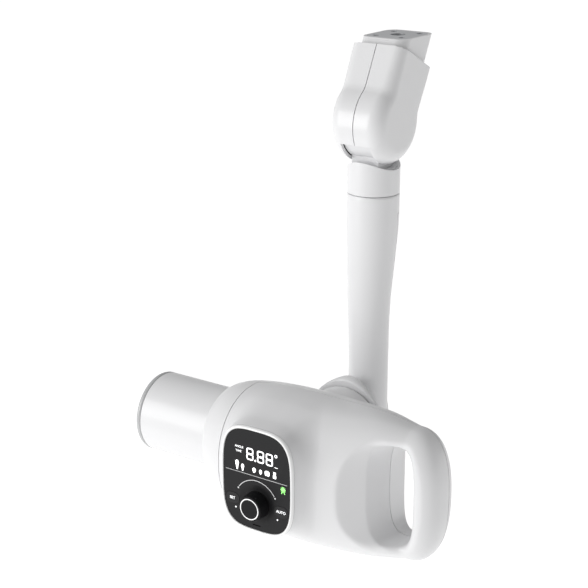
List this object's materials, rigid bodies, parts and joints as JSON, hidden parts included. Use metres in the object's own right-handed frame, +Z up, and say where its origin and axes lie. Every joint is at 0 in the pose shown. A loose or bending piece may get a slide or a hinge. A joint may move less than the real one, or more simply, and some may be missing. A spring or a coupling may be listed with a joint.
{
  "type": "intraoral x-ray unit",
  "caption": "Dental x-ray tubehead with round cone, grip opening and knob panel, hung from a swivelling stalk and a jointed elbow at the end of an arm.",
  "frame": {"origin": "centre of the arm's level end plate, at its upper face, where the unit is bolted on", "axes": "+Z up out of the end plate; -X the way the beam leaves the cone; -Y the side of the control panel"},
  "size_m": [0.2802, 0.2165, 0.392],
  "materials": {
    "white_casing": "smooth satin-gloss moulded white",
    "white_cover": "smooth satin-gloss moulded white, rear covers",
    "cone_plastic": "white moulded tube",
    "clear_ring": "pale translucent end ring",
    "bezel_white": "high-gloss white rim",
    "black_fascia": "black printed fascia",
    "knob_black": "black soft-touch knob",
    "key_black": "black keys",
    "ring_white": "white ring",
    "indicator_white": "white indicator lamps",
    "indicator_green": "green status lamp",
    "grey_casting": "light grey powder coat",
    "plain_aluminium": "as machined",
    "steel": "zinc plated",
    "bronze": "turned",
    "lead": "dull lead sheet",
    "tube_glass": "clear envelope",
    "copper_anode": "machined copper",
    "ferrite": "dark ferrite",
    "winding": "enamelled wire",
    "circuit_board": "green board",
    "dark_polymer": "moulded"
  },
  "bodies": {
    "arm": {"arm_cover": "white_casing", "arm_end_plate": "plain_aluminium", "arm_beam": "plain_aluminium", "elbow_clevis": "plain_aluminium", "elbow_pin": "steel", "elbow_circlips": "steel", "elbow_shell_left": "white_casing", "elbow_shell_right": "white_casing", "elbow_screws": "steel"},
    "neck": {"neck_knuckle": "grey_casting", "elbow_bushes": "bronze", "neck_collar": "white_casing", "swivel_bush": "bronze"},
    "stalk": {"stalk_shell": "white_casing", "stalk_back_cover": "white_cover", "stalk_cover_screws": "steel", "stalk_core": "plain_aluminium", "swivel_spindle": "steel", "swivel_thrust_washer": "dark_polymer", "swivel_nut": "steel", "tilt_axle": "steel", "tilt_washers": "dark_polymer", "tilt_nut": "steel"},
    "head": {"head_front_shell": "white_casing", "head_back_shell": "white_cover", "head_nose_ring": "white_casing", "head_screws": "steel", "cone_tube": "cone_plastic", "cone_end_ring": "clear_ring", "cone_lead_liner": "lead", "cone_socket": "dark_polymer", "collimator_plate": "lead", "beam_filter": "plain_aluminium", "generator_tank": "plain_aluminium", "tank_lid": "plain_aluminium", "tank_screws": "steel", "xray_tube_glass": "tube_glass", "anode": "copper_anode", "cathode": "steel", "transformer_core": "ferrite", "transformer_coil": "winding", "control_board": "circuit_board", "board_standoffs": "bronze", "inverter_board": "circuit_board", "display_module": "dark_polymer", "encoder_body": "steel", "buzzer": "dark_polymer", "key_switches": "dark_polymer", "panel_bezel": "bezel_white", "panel_fascia": "black_fascia", "indicator_leds": "indicator_white", "status_lens": "indicator_green", "hub_plate": "plain_aluminium", "hub_pillars": "steel", "hub_bush": "bronze"},
    "knob_push": {"encoder_shaft": "steel"},
    "knob": {"knob_skirt": "knob_black", "knob_ring": "ring_white"},
    "set_button": {"set_key": "key_black"},
    "auto_button": {"auto_key": "key_black"}
  },
  "joints": [
    {"name": "elbow_tilt", "type": "hinge", "parent": "arm", "child": "neck", "pos_m": [0, -0.03337, -0.0655], "axis": [1, 0, 0], "range_deg": [-25, 50]},
    {"name": "stalk_swivel", "type": "hinge", "parent": "neck", "child": "stalk", "pos_m": [0, -0.03337, -0.123], "axis": [0, 0, 1], "range_deg": [-160, 160]},
    {"name": "head_tilt", "type": "hinge", "parent": "stalk", "child": "head", "pos_m": [0, -0.07137, -0.315], "axis": [0, 1, 0], "range_deg": [-110, 110]},
    {"name": "knob_press", "type": "slide", "parent": "head", "child": "knob_push", "axis": [0, 1, 0], "range_m": [0, 0.0005], "stiffness_N_per_m": 2000, "springref_m": -0.0005},
    {"name": "knob_turn", "type": "hinge", "parent": "knob_push", "child": "knob", "pos_m": [-0.0111, -0.18137, -0.3465], "axis": [0, -1, 0], "continuous": true},
    {"name": "set_press", "type": "slide", "parent": "head", "child": "set_button", "axis": [0, 1, 0], "range_m": [0, 0.0005], "stiffness_N_per_m": 2000, "springref_m": -0.0005},
    {"name": "auto_press", "type": "slide", "parent": "head", "child": "auto_button", "axis": [0, 1, 0], "range_m": [0, 0.0005], "stiffness_N_per_m": 2000, "springref_m": -0.0005}
  ]
}
